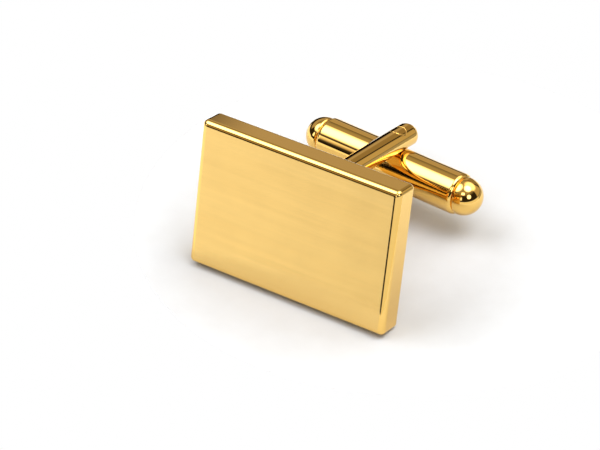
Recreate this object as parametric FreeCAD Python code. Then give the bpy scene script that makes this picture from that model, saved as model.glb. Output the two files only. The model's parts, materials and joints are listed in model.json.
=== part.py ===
import FreeCAD, Part
import math
import os
from FreeCAD import Vector as V

# ---------------------------------------------------------------------------
# Swivel-bar cufflink, millimetres.
#
# The pieces are drawn in the plate's own frame: x across the plate, y from the
# front face towards the swivel bar, z up along the plate, with the origin at
# the middle of the front face's lower edge.  At the end everything is leaned
# back into the pose in which the link stands on a table: on the lower back
# edge of the plate and on the tip of the lower arm.
# ---------------------------------------------------------------------------

# face plate
PLATE_W = 22.20           # across
PLATE_H = 15.23           # up
PLATE_T = 2.95            # thickness
TAPER = 0.03              # how far each side draws in towards the back
R_FRONT = 0.62            # round on the front edges
R_BACK = 0.55             # round on the back edges
R_CORNER = 0.50           # round on the four short corner edges

# post: a soldered foot and two arms that straddle the swivel bar
FOOT_X = 3.6
FOOT_Z = 10.4
FOOT_T = 1.45
FOOT_R = 1.2              # corner radius of the foot
FOOT_EDGE = 0.35          # round on the foot's outer edge
SOCKET = 0.85             # depth of the arm sockets in the foot
BRAZE = 0.02              # joint gap round each arm in its socket
ARM_R0 = 1.10             # radius of the round arms at the foot
ARM_R = 1.235             # radius at their ball ends
ARM_FLAT = 0.54           # from the arm's axis to the flat that faces the bar
SWELL_0 = 4.60            # the arm thickens between these two places
SWELL_1 = 17.0
TIP_Y = 20.30             # centre of the ball end, behind the front face

# swivel
PIVOT_Y = 18.6            # rivet axis behind the front face
PIVOT_Z = 7.67            # bar axis height on the plate
BAR_R = 2.11              # barrel outside radius
BAR_BORE = 1.60           # barrel inside radius
BAR_HALF = 8.40           # half length of the barrel
BAR_EDGE = 0.45           # round on the barrel's ends
SIDE_GAP = 0.05           # play between the barrel and each arm
DOME_R = 1.92             # end cap radius
SPIGOT_R = 1.59           # cap plug inside the barrel
SPIGOT_L = 1.9
CAP_LIP = 0.26            # round on the cap's shoulder
REST_YAW = 5.64           # degrees the bar is turned out of parallel at rest

# rivet
RIVET_R = 0.60
RIVET_FIT = 0.01          # drive fit in the arms
PIVOT_FIT = 0.05          # running fit in the barrel
HEAD_R = 0.80
HEAD_SEAT = 0.45          # depth of the counterbore that the head sits in
HEAD_GAP = 0.02
HEAD_PROUD = 0.01         # heads are ground to the arm's round, this much proud
FLAT_HALF = 0.50          # half width across the four click flats
FLAT_LEN = 1.7            # length of the flats along the rivet

# click springs: two bowed leaves inside the barrel
LEAF_T = 0.20
LEAF_W = 1.30
LEAF_HALF = 6.35
LEAF_MID = 0.66           # inner face at the rivet
LEAF_END = 1.22           # inner face at the ends

os.makedirs("parts", exist_ok=True)


def pick(shape, test):
    """Edges of a shape whose bounding box passes a test."""
    return [e for e in shape.Edges if test(e.BoundBox)]


def near(a, b):
    return abs(a - b) < 1e-4


def rounded_rect(cx, cz, w, h, r, y):
    """Closed wire of a rounded rectangle in the plane y."""
    x0, x1, z0, z1 = cx - w / 2, cx + w / 2, cz - h / 2, cz + h / 2
    k = r * (1 - math.sqrt(0.5))
    p = lambda x, z: V(x, y, z)
    return Part.Wire([
        Part.LineSegment(p(x0 + r, z0), p(x1 - r, z0)).toShape(),
        Part.Arc(p(x1 - r, z0), p(x1 - k, z0 + k), p(x1, z0 + r)).toShape(),
        Part.LineSegment(p(x1, z0 + r), p(x1, z1 - r)).toShape(),
        Part.Arc(p(x1, z1 - r), p(x1 - k, z1 - k), p(x1 - r, z1)).toShape(),
        Part.LineSegment(p(x1 - r, z1), p(x0 + r, z1)).toShape(),
        Part.Arc(p(x0 + r, z1), p(x0 + k, z1 - k), p(x0, z1 - r)).toShape(),
        Part.LineSegment(p(x0, z1 - r), p(x0, z0 + r)).toShape(),
        Part.Arc(p(x0, z0 + r), p(x0 + k, z0 + k), p(x0 + r, z0)).toShape(),
    ])


def cyl_z(r, z0, z1, x=0.0, y=0.0):
    return Part.makeCylinder(r, z1 - z0, V(x, y, z0), V(0, 0, 1))


def revolve_x(points):
    """Solid of revolution about the x axis from a closed outline of
    (x, r) points; an entry of three (x, r) pairs is an arc from the first
    through the second to the third."""
    edges = []
    for seg in points:
        q = [V(a, b, 0) for a, b in seg]
        if len(q) == 2:
            edges.append(Part.LineSegment(q[0], q[1]).toShape())
        else:
            edges.append(Part.Arc(q[0], q[1], q[2]).toShape())
    face = Part.Face(Part.Wire(edges))
    return face.revolve(V(0, 0, 0), V(1, 0, 0), 360)


# --- face plate: a thick slab, drawn in towards the back, round-edged ---------
half = PLATE_W / 2
plate = Part.makeWedge(-half, 0, 0, TAPER, TAPER - half,
                       half, PLATE_T, PLATE_H, PLATE_H - TAPER, half - TAPER)
front = pick(plate, lambda b: near(b.YMin, 0) and near(b.YMax, 0))
plate = plate.makeFillet(R_FRONT, front)
back = pick(plate, lambda b: near(b.YMin, PLATE_T) and near(b.YMax, PLATE_T))
plate = plate.makeFillet(R_BACK, back)
short = pick(plate, lambda b: b.YLength > PLATE_T * 0.6
             and b.XLength < 1 and b.ZLength < 1)
plate = plate.makeFillet(R_CORNER, short)

# --- foot of the post, soldered to the middle of the plate's back ------------
arm_z = {"upper": PIVOT_Z + BAR_R + SIDE_GAP + ARM_FLAT,
         "lower": PIVOT_Z - BAR_R - SIDE_GAP - ARM_FLAT}


def flat_side(z, out, grow):
    """Block that a rod loses on its flat side."""
    lo, hi = sorted((z - out * (ARM_FLAT + grow), z - out * 4))
    return Part.makeBox(8, 40, hi - lo, V(-4, -5, lo))


foot = Part.Face(rounded_rect(0, PIVOT_Z, FOOT_X, FOOT_Z, FOOT_R, PLATE_T)) \
    .extrude(V(0, FOOT_T, 0))
rim = pick(foot, lambda b: near(b.YMin, PLATE_T + FOOT_T)
           and near(b.YMax, PLATE_T + FOOT_T))
foot = foot.makeFillet(FOOT_EDGE, rim)
SOCKET_Y = PLATE_T + FOOT_T - SOCKET
for key, out in (("upper", 1), ("lower", -1)):
    hole = Part.makeCylinder(ARM_R0 + BRAZE, SOCKET + 1.0, V(0, SOCKET_Y, arm_z[key]), V(0, 1, 0))
    foot = foot.cut(hole.cut(flat_side(arm_z[key], out, BRAZE)))


# --- arms: round, thickening to a ball end, flat towards the bar, drilled for the rivet
def make_arm(z, out):
    """Arm on the axis at height z; out is +1 when its outer side looks up."""
    s = ARM_R * math.sqrt(0.5)
    bar = revolve_x([
        [(SOCKET_Y, 0), (SOCKET_Y, ARM_R0)],
        [(SOCKET_Y, ARM_R0), (SWELL_0, ARM_R0)],
        [(SWELL_0, ARM_R0), (SWELL_1, ARM_R)],
        [(SWELL_1, ARM_R), (TIP_Y, ARM_R)],
        [(TIP_Y, ARM_R), (TIP_Y + s, s), (TIP_Y + ARM_R, 0)],
        [(TIP_Y + ARM_R, 0), (SOCKET_Y, 0)],
    ])
    bar.rotate(V(0, 0, 0), V(0, 0, 1), 90)
    bar.translate(V(0, 0, z))
    bar = bar.cut(flat_side(z, out, 0))
    bar = bar.cut(cyl_z(RIVET_R + RIVET_FIT, z - 2, z + 2, 0, PIVOT_Y))
    face = z + out * ARM_R
    seat = face - out * HEAD_SEAT
    lo, hi = sorted((seat, face + out * 1.0))
    bar = bar.cut(cyl_z(HEAD_R + HEAD_GAP, lo, hi, 0, PIVOT_Y))
    return bar


arm_upper = make_arm(arm_z["upper"], 1)
arm_lower = make_arm(arm_z["lower"], -1)

# --- rivet: headed at both ends, with four flats for the click springs -------
top = arm_z["upper"] + ARM_R - HEAD_SEAT      # seats of the two heads
bot = arm_z["lower"] - ARM_R + HEAD_SEAT


def head(seat, z, out):
    """Head that fills the counterbore of the arm at height z and follows the
    arm's round outer side."""
    lo, hi = sorted((seat, seat + out * 1.0))
    skin = Part.makeCylinder(ARM_R + HEAD_PROUD, 4, V(0, PIVOT_Y - 2, z), V(0, 1, 0))
    return cyl_z(HEAD_R, lo, hi, 0, PIVOT_Y).common(skin)


rivet = cyl_z(RIVET_R, bot, top, 0, PIVOT_Y)
for k in range(4):
    slab = Part.makeBox(2, 1, FLAT_LEN, V(-1, FLAT_HALF, -FLAT_LEN / 2))
    slab.rotate(V(0, 0, 0), V(0, 0, 1), 90 * k)
    slab.translate(V(0, PIVOT_Y, PIVOT_Z))
    rivet = rivet.cut(slab)
rivet = rivet.fuse([head(top, arm_z["upper"], 1),
                    head(bot, arm_z["lower"], -1)]).removeSplitter()

# --- swivel bar, drawn along x about the origin ------------------------------
e = BAR_EDGE
k = e * (1 - math.sqrt(0.5))
a, b = BAR_HALF, BAR_R
barrel = revolve_x([
    [(-a, BAR_BORE), (-a, b - e)],
    [(-a, b - e), (-a + k, b - k), (-a + e, b)],
    [(-a + e, b), (a - e, b)],
    [(a - e, b), (a - k, b - k), (a, b - e)],
    [(a, b - e), (a, BAR_BORE)],
    [(a, BAR_BORE), (-a, BAR_BORE)],
])
barrel = barrel.cut(cyl_z(RIVET_R + PIVOT_FIT, -4, 4))

# end caps: a ball end with a plug that is pressed into the barrel
q = CAP_LIP * (1 - math.sqrt(0.5))
s45 = DOME_R * math.sqrt(0.5)
c0 = BAR_HALF + CAP_LIP                           # centre of the ball end
cap = revolve_x([
    [(a - SPIGOT_L, 0), (a - SPIGOT_L, SPIGOT_R - 0.15)],
    [(a - SPIGOT_L, SPIGOT_R - 0.15), (a - SPIGOT_L + 0.15, SPIGOT_R)],
    [(a - SPIGOT_L + 0.15, SPIGOT_R), (a, SPIGOT_R)],
    [(a, SPIGOT_R), (a, DOME_R - CAP_LIP)],
    [(a, DOME_R - CAP_LIP), (a + q, DOME_R - q), (c0, DOME_R)],
    [(c0, DOME_R), (c0 + s45, s45), (c0 + DOME_R, 0)],
    [(c0 + DOME_R, 0), (a - SPIGOT_L, 0)],
])
cap_right = cap
cap_left = cap.copy()
cap_left.rotate(V(0, 0, 0), V(0, 0, 1), 180)


# click springs: bowed leaves that bear on the rivet and on the bore
def leaf(side):
    m0, m1 = side * LEAF_MID, side * (LEAF_MID + LEAF_T)
    e0, e1 = side * LEAF_END, side * (LEAF_END + LEAF_T)
    h = LEAF_HALF
    z = -LEAF_W / 2
    wire = Part.Wire([
        Part.Arc(V(-h, e0, z), V(0, m0, z), V(h, e0, z)).toShape(),
        Part.LineSegment(V(h, e0, z), V(h, e1, z)).toShape(),
        Part.Arc(V(h, e1, z), V(0, m1, z), V(-h, e1, z)).toShape(),
        Part.LineSegment(V(-h, e1, z), V(-h, e0, z)).toShape(),
    ])
    return Part.Face(wire).extrude(V(0, 0, LEAF_W))


bar_parts = {
    "bar_barrel": barrel,
    "end_cap_right": cap_right,
    "end_cap_left": cap_left,
    "click_spring_front": leaf(-1),
    "click_spring_back": leaf(1),
}
for s in bar_parts.values():
    s.rotate(V(0, 0, 0), V(0, 0, 1), -REST_YAW)
    s.translate(V(0, PIVOT_Y, PIVOT_Z))

parts = {
    "face_plate": plate,
    "post_foot": foot,
    "arm_upper": arm_upper,
    "arm_lower": arm_lower,
    "pivot_rivet": rivet,
}
parts.update(bar_parts)

# --- lean the link back until the plate's lower back edge and the tip of the
# lower arm stand on the same level ------------------------------------------
def low(points, t):
    return min(-p.y * math.sin(t) + p.z * math.cos(t) for p in points)


heel = plate.tessellate(0.002)[0]
tip = arm_lower.tessellate(0.002)[0]
t0, t1 = 0.0, math.radians(30)
for _ in range(40):
    t = (t0 + t1) / 2
    if low(tip, t) > low(heel, t):
        t0 = t
    else:
        t1 = t
LEAN = math.degrees(t)
for s in parts.values():
    s.rotate(V(0, 0, 0), V(1, 0, 0), -LEAN)

# origin: middle of the link's box, on the table
box = Part.makeCompound(list(parts.values())).optimalBoundingBox(False, False)
shift = V(-(box.XMin + box.XMax) / 2, -(box.YMin + box.YMax) / 2, -box.ZMin)
for name, s in parts.items():
    s.translate(shift)
    s.exportStep("parts/" + name + ".step")

# --- figures for the record ---------------------------------------------------
def place(x, y, z):
    p = FreeCAD.Rotation(V(1, 0, 0), -LEAN).multVec(V(x, y, z)) + shift
    return "(%.4f, %.4f, %.4f)" % (p.x, p.y, p.z)


print("lean %.4f deg" % LEAN)
print("shift", shift)
print("pivot", place(0, PIVOT_Y, PIVOT_Z))
print("front face centre", place(0, 0, PLATE_H / 2))
print("plate back centre", place(0, PLATE_T, PLATE_H / 2))
for name, s in parts.items():
    bb = s.optimalBoundingBox(False, False)
    print("%-20s valid %s solids %d volume %.2f  x %.2f..%.2f y %.2f..%.2f z %.2f..%.2f"
          % (name, s.isValid(), len(s.Solids), s.Volume, bb.XMin, bb.XMax,
             bb.YMin, bb.YMax, bb.ZMin, bb.ZMax))
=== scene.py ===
import json
import math

import bmesh
import bpy
import numpy as np
from mathutils import Matrix, Vector

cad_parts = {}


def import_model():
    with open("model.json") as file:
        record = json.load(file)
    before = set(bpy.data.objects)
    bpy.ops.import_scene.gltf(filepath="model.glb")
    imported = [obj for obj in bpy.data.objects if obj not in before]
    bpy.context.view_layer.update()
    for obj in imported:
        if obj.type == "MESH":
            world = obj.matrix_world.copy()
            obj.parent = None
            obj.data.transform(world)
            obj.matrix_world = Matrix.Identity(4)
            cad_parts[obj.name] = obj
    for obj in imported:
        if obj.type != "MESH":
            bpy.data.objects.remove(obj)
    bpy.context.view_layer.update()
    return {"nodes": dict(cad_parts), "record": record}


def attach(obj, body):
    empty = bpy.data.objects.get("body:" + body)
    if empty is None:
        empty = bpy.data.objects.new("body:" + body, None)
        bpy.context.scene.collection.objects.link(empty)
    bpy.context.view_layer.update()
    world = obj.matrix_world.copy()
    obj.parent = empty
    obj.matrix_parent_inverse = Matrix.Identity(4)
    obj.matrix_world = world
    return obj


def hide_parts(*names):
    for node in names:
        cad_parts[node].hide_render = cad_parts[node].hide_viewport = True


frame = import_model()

# ---------------------------------------------------------------------------
# The link's own frame: x across the plate, y from the front face to the swivel
# bar, z up the plate, millimetres.  The link stands leaning back, and the
# swivel joint in the record gives that lean and the place of the pivot.
# ---------------------------------------------------------------------------
PLATE_W, PLATE_H, PLATE_T, TAPER = 22.20, 15.23, 2.95, 0.03
R_FRONT, R_BACK, R_CORNER = 0.62, 0.55, 0.50
FOOT_X, FOOT_Z, FOOT_T, FOOT_R, FOOT_EDGE = 3.6, 10.4, 1.45, 1.2, 0.35
SOCKET, BRAZE = 0.85, 0.02
ARM_R0, ARM_R, ARM_FLAT = 1.10, 1.235, 0.54
SWELL_0, SWELL_1, TIP_Y = 4.60, 17.0, 20.30
PIVOT_Y, PIVOT_Z = 18.6, 7.67
BAR_R, BAR_BORE, BAR_HALF, BAR_EDGE = 2.11, 1.60, 8.40, 0.45
SIDE_GAP, DOME_R, SPIGOT_R, SPIGOT_L, CAP_LIP = 0.05, 1.92, 1.59, 1.9, 0.26
REST_YAW = 5.64
RIVET_R, RIVET_FIT, PIVOT_FIT = 0.60, 0.01, 0.05
HEAD_R, HEAD_SEAT, HEAD_GAP, HEAD_PROUD = 0.80, 0.45, 0.02, 0.01
FLAT_HALF, FLAT_LEN = 0.50, 1.7

JOINT = frame["record"]["behaviour"]["joints"][0]
UP = np.array(JOINT["axis"]) / np.linalg.norm(JOINT["axis"])
LEAN = math.atan2(UP[1], UP[2])
C, S = math.cos(LEAN), math.sin(LEAN)
TURN = np.array([[1, 0, 0], [0, C, S], [0, -S, C]])
SHIFT = np.array(JOINT["pos_m"]) * 1000 - TURN @ np.array([0, PIVOT_Y, PIVOT_Z])


def world(p):
    """Points of the link's frame in millimetres -> metres of the row frame."""
    return (np.asarray(p, float) @ TURN.T + SHIFT) * 0.001


# --- mesh helpers --------------------------------------------------------------
def mesh_object(name, verts, faces, mats, index=None):
    me = bpy.data.meshes.new(name)
    me.from_pydata([tuple(v) for v in verts], [], [tuple(f) for f in faces])
    ob = bpy.data.objects.new(name, me)
    bpy.context.scene.collection.objects.link(ob)
    for m in mats:
        me.materials.append(m)
    if index is not None:
        me.polygons.foreach_set("material_index", index)
    bm = bmesh.new()
    bm.from_mesh(me)
    bmesh.ops.recalc_face_normals(bm, faces=bm.faces)
    bm.to_mesh(me)
    bm.free()
    return ob


def rings(loops, close_start=True, close_end=True):
    """Skin over a list of closed loops with the same number of points."""
    n = len(loops[0])
    verts = [p for lp in loops for p in lp]
    faces = []
    for a in range(len(loops) - 1):
        for i in range(n):
            j = (i + 1) % n
            faces.append((a * n + i, a * n + j, (a + 1) * n + j, (a + 1) * n + i))
    if close_start:
        faces.append(tuple(range(n - 1, -1, -1)))
    if close_end:
        faces.append(tuple(range((len(loops) - 1) * n, len(loops) * n)))
    return verts, faces


def turned(profile, n, place):
    """Solid of revolution from a closed profile of (along, radius) points;
    place(along, radius, angle) gives the point."""
    verts, faces, rows = [], [], []
    for a, r in profile:
        if r < 1e-9:
            rows.append([len(verts)])
            verts.append(place(a, 0.0, 0.0))
        else:
            rows.append(list(range(len(verts), len(verts) + n)))
            verts += [place(a, r, 2 * math.pi * i / n) for i in range(n)]
    for k in range(len(rows)):
        p, q = rows[k], rows[(k + 1) % len(rows)]
        if len(p) == 1 and len(q) == 1:
            continue
        for i in range(n):
            j = (i + 1) % n
            if len(p) == 1:
                faces.append((p[0], q[j], q[i]))
            elif len(q) == 1:
                faces.append((p[i], p[j], q[0]))
            else:
                faces.append((p[i], p[j], q[j], q[i]))
    return verts, faces


def arc(cx, cy, r, a0, a1, n):
    t = np.radians(np.linspace(a0, a1, n + 1))
    return [(cx + r * math.cos(a), cy + r * math.sin(a)) for a in t]


def cut(ob, cutters):
    """Takes the cutters out of the object for good."""
    for c in cutters:
        m = ob.modifiers.new("cut", "BOOLEAN")
        m.operation, m.solver, m.object = "DIFFERENCE", "EXACT", c
    dg = bpy.context.evaluated_depsgraph_get()
    me = bpy.data.meshes.new_from_object(ob.evaluated_get(dg))
    bm = bmesh.new()
    bm.from_mesh(me)
    bmesh.ops.remove_doubles(bm, verts=bm.verts, dist=0.002)
    bmesh.ops.dissolve_degenerate(bm, edges=bm.edges, dist=0.002)
    bmesh.ops.holes_fill(bm, edges=[e for e in bm.edges if e.is_boundary], sides=8)
    bmesh.ops.triangulate(bm, faces=[f for f in bm.faces if len(f.verts) > 4])
    bmesh.ops.recalc_face_normals(bm, faces=bm.faces)
    bm.to_mesh(me)
    bm.free()
    ob.modifiers.clear()
    old = ob.data
    ob.data = me
    bpy.data.meshes.remove(old)
    for c in cutters:
        bpy.data.meshes.remove(c.data)


def settle(ob, body, node, sharp=30.0):
    """Millimetres of the link's frame -> metres of the row frame; shading;
    which body carries it; the CAD solid of the same part is hidden."""
    me = ob.data
    co = np.empty(len(me.vertices) * 3)
    me.vertices.foreach_get("co", co)
    me.vertices.foreach_set("co", world(co.reshape(-1, 3)).ravel())
    me.polygons.foreach_set("use_smooth", [True] * len(me.polygons))
    me.set_sharp_from_angle(angle=math.radians(sharp))
    me.update()
    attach(ob, body)
    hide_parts(node)
    return ob


# --- materials -----------------------------------------------------------------
class Nodes:
    def __init__(self, name):
        self.mat = bpy.data.materials.new(name)
        self.mat.use_nodes = True
        self.t = self.mat.node_tree
        self.t.nodes.clear()
        self.out = self.add("ShaderNodeOutputMaterial")
        self.bsdf = self.add("ShaderNodeBsdfPrincipled")
        self.t.links.new(self.bsdf.outputs[0], self.out.inputs[0])
        self.co = self.add("ShaderNodeTexCoord").outputs["Object"]

    def add(self, kind, **kw):
        n = self.t.nodes.new(kind)
        for k, v in kw.items():
            setattr(n, k, v)
        return n

    def link(self, a, b):
        self.t.links.new(a, b)

    def stretch(self, scale):
        m = self.add("ShaderNodeMapping")
        m.inputs["Scale"].default_value = scale
        self.link(self.co, m.inputs["Vector"])
        return m.outputs[0]

    def noise(self, vec, scale, detail=3.0, rough=0.55):
        n = self.add("ShaderNodeTexNoise")
        n.inputs["Scale"].default_value = scale
        n.inputs["Detail"].default_value = detail
        n.inputs["Roughness"].default_value = rough
        self.link(vec, n.inputs["Vector"])
        return n.outputs["Fac"]

    def ramp(self, fac, lo, hi, a, b):
        """Number that goes from a to b while fac goes from lo to hi."""
        m = self.add("ShaderNodeMapRange")
        for k, v in (("From Min", lo), ("From Max", hi), ("To Min", a), ("To Max", b)):
            m.inputs[k].default_value = v
        self.link(fac, m.inputs["Value"])
        return m.outputs[0]

    def mix(self, fac, a, b):
        m = self.add("ShaderNodeMix", data_type="RGBA")
        self.link(fac, m.inputs[0])
        m.inputs[6].default_value = (*a, 1)
        m.inputs[7].default_value = (*b, 1)
        return m.outputs[2]

    def math(self, op, a, b):
        m = self.add("ShaderNodeMath", operation=op)
        for i, v in enumerate((a, b)):
            if isinstance(v, (int, float)):
                m.inputs[i].default_value = v
            else:
                self.link(v, m.inputs[i])
        return m.outputs[0]

    def bump(self, height, distance, strength=1.0):
        b = self.add("ShaderNodeBump")
        b.inputs["Strength"].default_value = strength
        b.inputs["Distance"].default_value = distance
        self.link(height, b.inputs["Height"])
        self.link(b.outputs[0], self.bsdf.inputs["Normal"])


def metal(name, light, deep, rough, spread, haze, grain=None, depth=1.2e-7):
    """Plated metal: slow drift between two tones, a roughness that wanders
    with handling marks, and a very fine polishing grain in the surface."""
    n = Nodes(name)
    n.bsdf.inputs["Metallic"].default_value = 1.0
    if grain is None:
        drift = n.noise(n.co, 180.0, 2.0)
    else:                                               # tone runs with the grain
        drift = n.noise(n.stretch((grain[0] * 0.5, grain[1] * 0.15, grain[2] * 0.15)), 1.0, 4.0, 0.65)
    n.link(n.mix(n.ramp(drift, 0.3, 0.7, 0, 1), light, deep), n.bsdf.inputs["Base Color"])
    marks = n.noise(n.co, haze, 4.0, 0.6)
    if grain is None:
        fine = n.noise(n.co, 9000.0, 2.0)
        r = n.ramp(marks, 0.35, 0.75, rough - spread, rough + spread)
        n.bump(fine, 1.0e-7, 0.3)
    else:
        lines = n.noise(n.stretch(grain), 1.0, 3.0, 0.6)
        r = n.math("ADD", n.ramp(marks, 0.35, 0.75, rough - spread, rough + spread),
                   n.ramp(lines, 0.3, 0.7, -0.02, 0.02))
        n.bump(lines, depth, 0.5)
    n.link(r, n.bsdf.inputs["Roughness"])
    return n.mat


GOLD_FACE = metal("gold_satin", (0.875, 0.593, 0.207), (0.84, 0.56, 0.187), 0.19, 0.02, 300.0,
                  (60.0, 6000.0, 6000.0), 0.9e-7)
GOLD_EDGE = metal("gold_edge", (0.90, 0.585, 0.175), (0.88, 0.565, 0.16), 0.09, 0.02, 500.0,
                  (120.0, 6000.0, 6000.0), 0.8e-7)
GOLD = metal("gold_polished", (0.90, 0.575, 0.165), (0.88, 0.555, 0.15), 0.055, 0.015, 700.0)
STEEL = metal("spring_steel", (0.50, 0.51, 0.53), (0.44, 0.45, 0.47), 0.28, 0.05, 900.0,
              (300.0, 12000.0, 12000.0), 6.0e-7)


# --- face plate ------------------------------------------------------------------
def plate_loop(y, inset, rc, n=7):
    """Rounded rectangle of the plate's outline at depth y."""
    hw, hh = PLATE_W / 2 - inset, PLATE_H / 2 - inset
    pts = []
    for sx, sz, a0 in ((1, 1, 0), (-1, 1, 90), (-1, -1, 180), (1, -1, 270)):
        for k in range(n + 1):
            a = math.radians(a0 + 90 * k / n)
            pts.append((sx * (hw - rc) + rc * math.cos(a), y,
                        PLATE_H / 2 + sz * (hh - rc) + rc * math.sin(a)))
    return pts


def build_plate():
    loops, kinds = [], []
    lean = TAPER / PLATE_T

    def corner(inset, r):
        return max(R_CORNER * (1 - 0.85 * inset / r), 0.03)

    for extra in (2.0, 0.5, 0.12, 0.03):
        loops.append(plate_loop(0, R_FRONT + extra, 0.03))
    for k in range(19):
        a = math.radians(90 * k / 18)
        y, i = R_FRONT * (1 - math.cos(a)), R_FRONT * (1 - math.sin(a))
        loops.append(plate_loop(y, i + lean * y, corner(i, R_FRONT)))
    y0, y1 = R_FRONT, PLATE_T - R_BACK
    for y in (y0 + 0.05, y0 + 0.25, (y0 + y1) / 2, y1 - 0.25, y1 - 0.05):
        loops.append(plate_loop(y, lean * y, R_CORNER))
    for k in range(13):
        a = math.radians(90 * k / 12)
        y, i = y1 + R_BACK * math.sin(a), R_BACK * (1 - math.cos(a))
        loops.append(plate_loop(y, i + lean * y, corner(i, R_BACK)))
    for extra in (0.03, 0.12, 0.5, 2.0):
        loops.append(plate_loop(PLATE_T, R_BACK + TAPER + extra, 0.03))
    verts, faces = rings(loops)
    n = len(loops[0])
    index = []
    for f in faces:
        ys = [verts[i][1] for i in f]
        index.append(0 if max(ys) < 0.004 else 1)
    ob = mesh_object("plate_body", verts, faces, [GOLD_FACE, GOLD_EDGE], index)
    return settle(ob, "link", "face_plate")


# --- post ------------------------------------------------------------------------
def rod_loop(y, r, z, out, flat, n=96, e=0.10):
    """Round section of an arm at depth y, with a flat towards the bar whose
    edges are eased."""
    pts = []
    for i in range(n):
        t = 2 * math.pi * i / n
        x, h = r * math.sin(t), r * math.cos(t)
        d = h + flat                                    # above the flat
        if d < e:
            h = -flat + (0.0 if d < -e else (d + e) ** 2 / (4 * e))
        pts.append((x, y, z + out * h))
    return pts


def arm_crest(x):
    """Height of the arm's round side above its axis, at x off that axis."""
    return math.sqrt(ARM_R ** 2 - x * x)


ARM_Z = {1: PIVOT_Z + BAR_R + SIDE_GAP + ARM_FLAT,
         -1: PIVOT_Z - BAR_R - SIDE_GAP - ARM_FLAT}
SOCKET_Y = PLATE_T + FOOT_T - SOCKET


def rod(r, z0, z1, n=64, y=PIVOT_Y):
    """Plain cutter along z."""
    def place(a, rr, t):
        return (rr * math.cos(t), y + rr * math.sin(t), a)
    v, f = turned([(z0, 0), (z0, r), (z1, r), (z1, 0)], n, place)
    return mesh_object("cutter", v, f, [])


def on_crest(r, t, lift, z, out):
    """Point r from the rivet's axis, lift above the arm's round side."""
    x = r * math.cos(t)
    return (x, PIVOT_Y + r * math.sin(t), z + out * (arm_crest(x) + lift))


def seat_cutter(z, out, n=96):
    """Counterbore for a rivet head; its mouth has a fine round that follows
    the arm's round side."""
    r = HEAD_R + HEAD_GAP
    ts = [2 * math.pi * i / n for i in range(n)]
    floor_z = z + out * (ARM_R - HEAD_SEAT)
    loops = [[(k * r * math.cos(t), PIVOT_Y + k * r * math.sin(t), floor_z) for t in ts]
             for k in (0.2, 0.8, 1.0)]
    for a in np.radians((0, 22, 45, 68, 90)):
        e = 0.06
        loops.append([on_crest(r + e * (1 - math.cos(a)), t, -e + e * math.sin(a) + 0.002, z, out)
                      for t in ts])
    loops.append([on_crest(r + 0.06, t, 0.5, z, out) for t in ts])
    v, f = rings(loops)
    return mesh_object("cutter", v, f, [])


def build_arm(out, name, node):
    z0 = ARM_Z[out]
    ys = [(SOCKET_Y, ARM_R0), (SOCKET_Y + 0.4, ARM_R0)]
    for k in range(9):                                  # thickens from foot to end
        u = k / 8
        ys.append((SWELL_0 + (SWELL_1 - SWELL_0) * u, ARM_R0 + (ARM_R - ARM_R0) * u))
    ys += [(y, ARM_R) for y in np.linspace(SWELL_1 + 0.15, TIP_Y - 0.1, 18)]
    for a in np.radians(np.linspace(0, 87, 40)):
        ys.append((TIP_Y + ARM_R * math.sin(a), ARM_R * math.cos(a)))
    verts, faces = rings([rod_loop(y, r, z0, out, ARM_FLAT) for y, r in ys], True, False)
    n = 96
    tip = len(verts)
    verts.append((0, TIP_Y + ARM_R, z0))
    base = (len(ys) - 1) * n
    faces += [(base + i, base + (i + 1) % n, tip) for i in range(n)]
    ob = mesh_object(name, verts, faces, [GOLD])
    cut(ob, [rod(RIVET_R + RIVET_FIT, z0 - 2, z0 + 2), seat_cutter(z0, out)])
    return settle(ob, "link", node, 40)


def build_foot():
    n = 12

    def loop(y, inset):
        hw, hh, rc = FOOT_X / 2 - inset, FOOT_Z / 2 - inset, FOOT_R - inset
        pts = []
        for sx, sz, a0 in ((1, 1, 0), (-1, 1, 90), (-1, -1, 180), (1, -1, 270)):
            for k in range(n + 1):
                a = math.radians(a0 + 90 * k / n)
                pts.append((sx * (hw - rc) + rc * math.cos(a), y,
                            PIVOT_Z + sz * (hh - rc) + rc * math.sin(a)))
        return pts

    y1 = PLATE_T + FOOT_T
    loops = [loop(PLATE_T, 0.25), loop(PLATE_T, 0.05), loop(PLATE_T + 0.01, 0.015),
             loop(PLATE_T + 0.04, 0), loop(PLATE_T + 0.3, 0), loop(y1 - FOOT_EDGE - 0.05, 0)]
    for k in range(13):
        a = math.radians(90 * k / 12)
        loops.append(loop(y1 - FOOT_EDGE + FOOT_EDGE * math.sin(a), FOOT_EDGE * (1 - math.cos(a))))
    loops.append(loop(y1, FOOT_EDGE + 0.05))
    verts, faces = rings(loops)
    ob = mesh_object("foot_body", verts, faces, [GOLD])
    cutters = []
    for out, z in ARM_Z.items():
        lps = [rod_loop(y, ARM_R0 + g, z, out, ARM_FLAT + g)
               for y, g in ((SOCKET_Y, BRAZE), (y1 - 0.06, BRAZE), (y1 + 0.005, BRAZE + 0.06),
                            (y1 + 1.0, BRAZE + 0.06))]
        v, f = rings(lps)
        cutters.append(mesh_object("cutter", v, f, []))
    cut(ob, cutters)
    return settle(ob, "link", "post_foot", 32)


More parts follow.
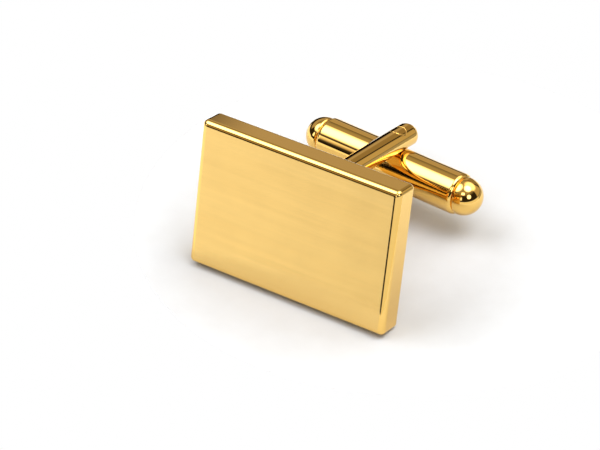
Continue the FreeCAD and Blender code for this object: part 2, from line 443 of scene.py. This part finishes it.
# --- rivet -----------------------------------------------------------------------
def build_rivet(n=96):
    ts = [2 * math.pi * i / n for i in range(n)]
    loops = []

    def ring(r, z):
        loops.append([(r * math.cos(t), PIVOT_Y + r * math.sin(t), z) for t in ts])

    def crown(out):
        """Loops of a head from its middle out to its rim and back to its seat."""
        z, e = ARM_Z[out], 0.05
        for r in (0.02, 0.15, 0.3, 0.45, 0.58, 0.68, HEAD_R - e - 0.02):
            loops.append([on_crest(r, t, HEAD_PROUD, z, out) for t in ts])
        for a in np.radians((90, 65, 40, 20, 0)):
            loops.append([on_crest(HEAD_R - e * (1 - math.cos(a)), t,
                                   HEAD_PROUD - e + e * math.sin(a), z, out) for t in ts])
        ring(HEAD_R, z + out * (ARM_R - HEAD_SEAT))
        ring(RIVET_R, z + out * (ARM_R - HEAD_SEAT))

    crown(-1)
    for z, flat in ((PIVOT_Z - FLAT_LEN / 2 - 0.01, 0), (PIVOT_Z - FLAT_LEN / 2 + 0.01, 1), (PIVOT_Z, 1),
                    (PIVOT_Z + FLAT_LEN / 2 - 0.01, 1), (PIVOT_Z + FLAT_LEN / 2 + 0.01, 0)):
        lp = []
        for t in ts:
            r = RIVET_R
            if flat:                                    # the four click flats
                u = (t + math.pi / 4) % (math.pi / 2) - math.pi / 4
                r = min(RIVET_R, FLAT_HALF / math.cos(u))
            lp.append((r * math.cos(t), PIVOT_Y + r * math.sin(t), z))
        loops.append(lp)
    lower = len(loops)
    crown(1)
    loops[lower:] = loops[lower:][::-1]
    verts, faces = rings(loops)
    ob = mesh_object("rivet", verts, faces, [GOLD])
    return settle(ob, "link", "pivot_rivet", 40)


# --- swivel bar --------------------------------------------------------------------
YAW = math.radians(-REST_YAW)


def on_bar(a, r, t):
    """Point a along the bar, r from its axis, turned to its place at rest."""
    x, y, z = a, r * math.cos(t), r * math.sin(t)
    return (x * math.cos(YAW) - y * math.sin(YAW),
            x * math.sin(YAW) + y * math.cos(YAW) + PIVOT_Y, z + PIVOT_Z)


def build_barrel():
    a, b, e, bore = BAR_HALF, BAR_R, BAR_EDGE, BAR_BORE
    half = [(0.0, b), (1.5, b), (4.0, b), (7.0, b), (a - e - 0.06, b)]
    half += arc(a - e, b - e, e, 90, 0, 14)
    half += [(a, bore + 0.03), (a - 0.03, bore), (a - 1.0, bore), (4.0, bore), (0.0, bore)]
    prof = half + [(-x, r) for x, r in reversed(half[1:-1])]
    v, f = turned(prof, 160, on_bar)
    ob = mesh_object("barrel", v, f, [GOLD])
    cut(ob, [rod(RIVET_R + PIVOT_FIT, PIVOT_Z - 4, PIVOT_Z + 4)])
    return settle(ob, "swivel_bar", "bar_barrel", 32)


def build_cap(side, name, node):
    a, c0 = BAR_HALF, BAR_HALF + CAP_LIP
    prof = [(a - SPIGOT_L, 0), (a - SPIGOT_L, 0.6), (a - SPIGOT_L, SPIGOT_R - 0.15),
            (a - SPIGOT_L + 0.15, SPIGOT_R), (a - 0.5, SPIGOT_R), (a, SPIGOT_R),
            (a, DOME_R - CAP_LIP)]
    prof += arc(c0, DOME_R - CAP_LIP, CAP_LIP, 180, 90, 8)[1:]
    prof += arc(c0, 0, DOME_R, 90, 0, 44)[1:-1] + [(c0 + DOME_R, 0)]

    def place(x, r, t):
        return on_bar(side * x, r, t)
    v, f = turned(prof, 160, place)
    ob = mesh_object(name, v, f, [GOLD])
    return settle(ob, "swivel_bar", node, 32)


build_plate()
build_foot()
build_arm(1, "upper_arm", "arm_upper")
build_arm(-1, "lower_arm", "arm_lower")
build_rivet()
build_barrel()
build_cap(1, "cap_right", "end_cap_right")
build_cap(-1, "cap_left", "end_cap_left")
for node in ("click_spring_front", "click_spring_back"):
    leaf = frame["nodes"][node]
    leaf.data.materials.clear()
    leaf.data.materials.append(STEEL)

# --- floor ---------------------------------------------------------------------------
FLOOR_R, FLOOR_X, FLOOR_Y = 0.027, 0.003, 0.006
rows = [[(FLOOR_X + FLOOR_R * k / 15 * math.cos(2 * math.pi * i / 96),
          FLOOR_Y + FLOOR_R * k / 15 * math.sin(2 * math.pi * i / 96), 0.0)
         for i in range(96)] for k in range(1, 16)]
fv, ff = rings(rows, True, False)
nf = Nodes("floor_paper_painted_shade")
nf.bsdf.inputs["Roughness"].default_value = 0.9
nf.bsdf.inputs["Specular IOR Level"].default_value = 0.15
# Painted shade: the floor's colour runs from a darker tone within 15 mm of the origin, under the link,
# to the pale tone beyond 32 mm. It stands in for the contact shadow round the link and for the shade
# seen in the plate's face. A faint noise adds a real mottle to the paper.
away = nf.add("ShaderNodeVectorMath", operation="LENGTH")
nf.link(nf.co, away.inputs[0])
shade = nf.math("ADD", nf.ramp(away.outputs["Value"], 0.015, 0.032, 0.0, 0.9),
                nf.ramp(nf.noise(nf.co, 350.0, 4.0), 0.3, 0.7, 0.0, 0.1))
nf.link(nf.mix(shade, (0.585, 0.599, 0.622), (0.785, 0.83, 0.89)), nf.bsdf.inputs["Base Color"])
floor = mesh_object("floor", fv, ff, [nf.mat])
floor.location.z = -0.00001

# --- studio: soft boxes overhead to the left and right, smaller ones round the
# camera, a warm grey room behind, and dark at the horizon -----------------------------
sky = bpy.data.worlds.new("studio")
bpy.context.scene.world = sky
sky.use_nodes = True
wt = sky.node_tree
wt.nodes.clear()


def wnode(kind, **kw):
    n = wt.nodes.new(kind)
    for k, v in kw.items():
        setattr(n, k, v)
    return n


def wmath(op, a, b):
    m = wnode("ShaderNodeMath", operation=op)
    for i, v in enumerate((a, b)):
        if isinstance(v, (int, float)):
            m.inputs[i].default_value = v
        else:
            wt.links.new(v, m.inputs[i])
    return m.outputs[0]


DIR = wnode("ShaderNodeTexCoord").outputs["Generated"]


def along(vec):
    d = wnode("ShaderNodeVectorMath", operation="DOT_PRODUCT")
    wt.links.new(DIR, d.inputs[0])
    d.inputs[1].default_value = vec
    return d.outputs["Value"]


def step(val, lo, hi, a=0.0, b=1.0):
    m = wnode("ShaderNodeMapRange", interpolation_type="SMOOTHSTEP")
    wt.links.new(val, m.inputs["Value"])
    for k, v in (("From Min", lo), ("From Max", hi), ("To Min", a), ("To Max", b)):
        m.inputs[k].default_value = v
    return m.outputs[0]


def tint(val, colour):
    m = wnode("ShaderNodeVectorMath", operation="SCALE")
    m.inputs[0].default_value = colour
    wt.links.new(val, m.inputs["Scale"])
    return m.outputs[0]


def grey(k):
    return (k, k, k)


def blob(az, el, inner, outer, colour):
    """Round soft source at an azimuth (0 in front of the plate, + to the
    right) and an elevation: full inside one angle, gone outside another."""
    a, e = math.radians(az), math.radians(el)
    vec = (math.sin(a) * math.cos(e), -math.cos(a) * math.cos(e), math.sin(e))
    return tint(step(along(vec), math.cos(math.radians(outer)), math.cos(math.radians(inner))),
                colour)


def window(val, lo, hi, edge):
    return wmath("MULTIPLY", step(val, lo - edge, lo + edge), step(val, hi - edge, hi + edge, 1, 0))


def panel(az, el, edge, colour, ring=None):
    """Soft-edged panel between two azimuths and two elevations."""
    return tint(wmath("MULTIPLY", window(ring or AZ, az[0], az[1], edge),
                      window(EL, el[0], el[1], edge * 0.6)), colour)


def but(val):
    return wmath("SUBTRACT", 1.0, val)


DEG = 180 / math.pi
RIGHT, AHEAD, UPWARD = along((1, 0, 0)), along((0, -1, 0)), along((0, 0, 1))
AZ = wmath("MULTIPLY", wmath("ARCTAN2", RIGHT, AHEAD), DEG)
AZ_BACK = wmath("MULTIPLY", wmath("ARCTAN2", along((-1, 0, 0)), along((0, 1, 0))), DEG)
EL = wmath("MULTIPLY", wmath("ARCSINE", UPWARD, 0.0), DEG)

table = wmath("MULTIPLY", step(EL, -2.5, 0.5, 1.0, 0.0),
              wmath("MULTIPLY", but(window(AZ, -22, 2, 4)),
                    but(wmath("MULTIPLY", window(AZ_BACK, 16, 62, 10), step(EL, -13, -7)))))
table = wmath("MULTIPLY", table, step(AZ, -40, -16, 1.34, 0.98))
table = wmath("MULTIPLY", table, but(wmath("MULTIPLY", window(AZ, -62, 4, 5), step(EL, -5.5, -3))))
table = wmath("MULTIPLY", table, but(wmath("MULTIPLY", window(AZ_BACK, 35, 62, 3), step(EL, -22, -16))))
shaded = wmath("MULTIPLY", window(AZ_BACK, -58, -14, 4), step(EL, -21, -15))
table = wmath("MULTIPLY", table, but(wmath("MULTIPLY", shaded, 0.55)))
layers = [
    tint(table, (1.02, 1.01, 0.99)),
    tint(step(EL, -1, 4), (0.03, 0.024, 0.015)),
    panel((18, 95), (13, 36), 2, (0.48, 0.41, 0.31), AZ_BACK),
    panel((18, 32), (4, 13), 2, (0.48, 0.41, 0.31), AZ_BACK),
    panel((-12, 18), (4, 34), 2, (0.30, 0.24, 0.15), AZ_BACK),
    panel((-66, -19), (1, 42), 3, (0.56, 0.48, 0.34), AZ_BACK),
    tint(step(EL, 28, 52), (0.42, 0.37, 0.28)),
    blob(-66, 58, 5, 29, (4.0, 4.05, 4.2)),
    blob(98, 70, 10, 23, (4.8, 4.85, 5.0)),
    blob(148, 58, 12, 34, (1.9, 1.85, 1.75)),
    panel((8, 34), (40, 54), 5, (3.0, 3.05, 3.2)),
    blob(63, 26, 8, 14, grey(3.6)),
    panel((1, 17), (8, 25), 3, grey(1.8)),
    panel((-52, -41), (8, 27), 4, grey(2.4)),
    panel((-41, 1), (14, 30), 3, (0.40, 0.29, 0.15)),
]
total = layers[0]
for extra in layers[1:]:
    m = wnode("ShaderNodeVectorMath", operation="ADD")
    wt.links.new(total, m.inputs[0])
    wt.links.new(extra, m.inputs[1])
    total = m.outputs[0]
lit = wnode("ShaderNodeBackground")
wt.links.new(total, lit.inputs["Color"])
plain = wnode("ShaderNodeBackground")
plain.inputs["Color"].default_value = (1.0, 1.0, 1.0, 1)
path = wnode("ShaderNodeLightPath")
both = wnode("ShaderNodeMixShader")
wt.links.new(path.outputs["Is Camera Ray"], both.inputs[0])
wt.links.new(lit.outputs[0], both.inputs[1])
wt.links.new(plain.outputs[0], both.inputs[2])
wout = wnode("ShaderNodeOutputWorld")
wt.links.new(both.outputs[0], wout.inputs[0])

# --- camera, fitted to the outlines of plate, arm and bar --------------------------------
CAM_ROT = np.array([[0.83518758, 0.5405514, 0.10132075],
                    [0.32152188, -0.33044367, -0.8873729],
                    [-0.44618986, 0.77369966, -0.44978155]])
CAM_AT = np.array([139.6303, -240.5673, 148.1428])
cam_data = bpy.data.cameras.new("camera")
cam = bpy.data.objects.new("camera", cam_data)
bpy.context.scene.collection.objects.link(cam)
axes = CAM_ROT @ TURN.T                        # right, down, forward
centre = world(CAM_AT)
cam.matrix_world = Matrix((
    (axes[0][0], -axes[1][0], -axes[2][0], centre[0]),
    (axes[0][1], -axes[1][1], -axes[2][1], centre[1]),
    (axes[0][2], -axes[1][2], -axes[2][2], centre[2]),
    (0, 0, 0, 1)))
cam_data.sensor_width = 36.0
cam_data.lens = 198.04
cam_data.clip_start = 0.01
cam_data.clip_end = 10.0
bpy.context.scene.camera = cam
bpy.context.scene.view_settings.view_transform = "Standard"
bpy.context.scene.view_settings.look = "None"

bpy.context.view_layer.update()
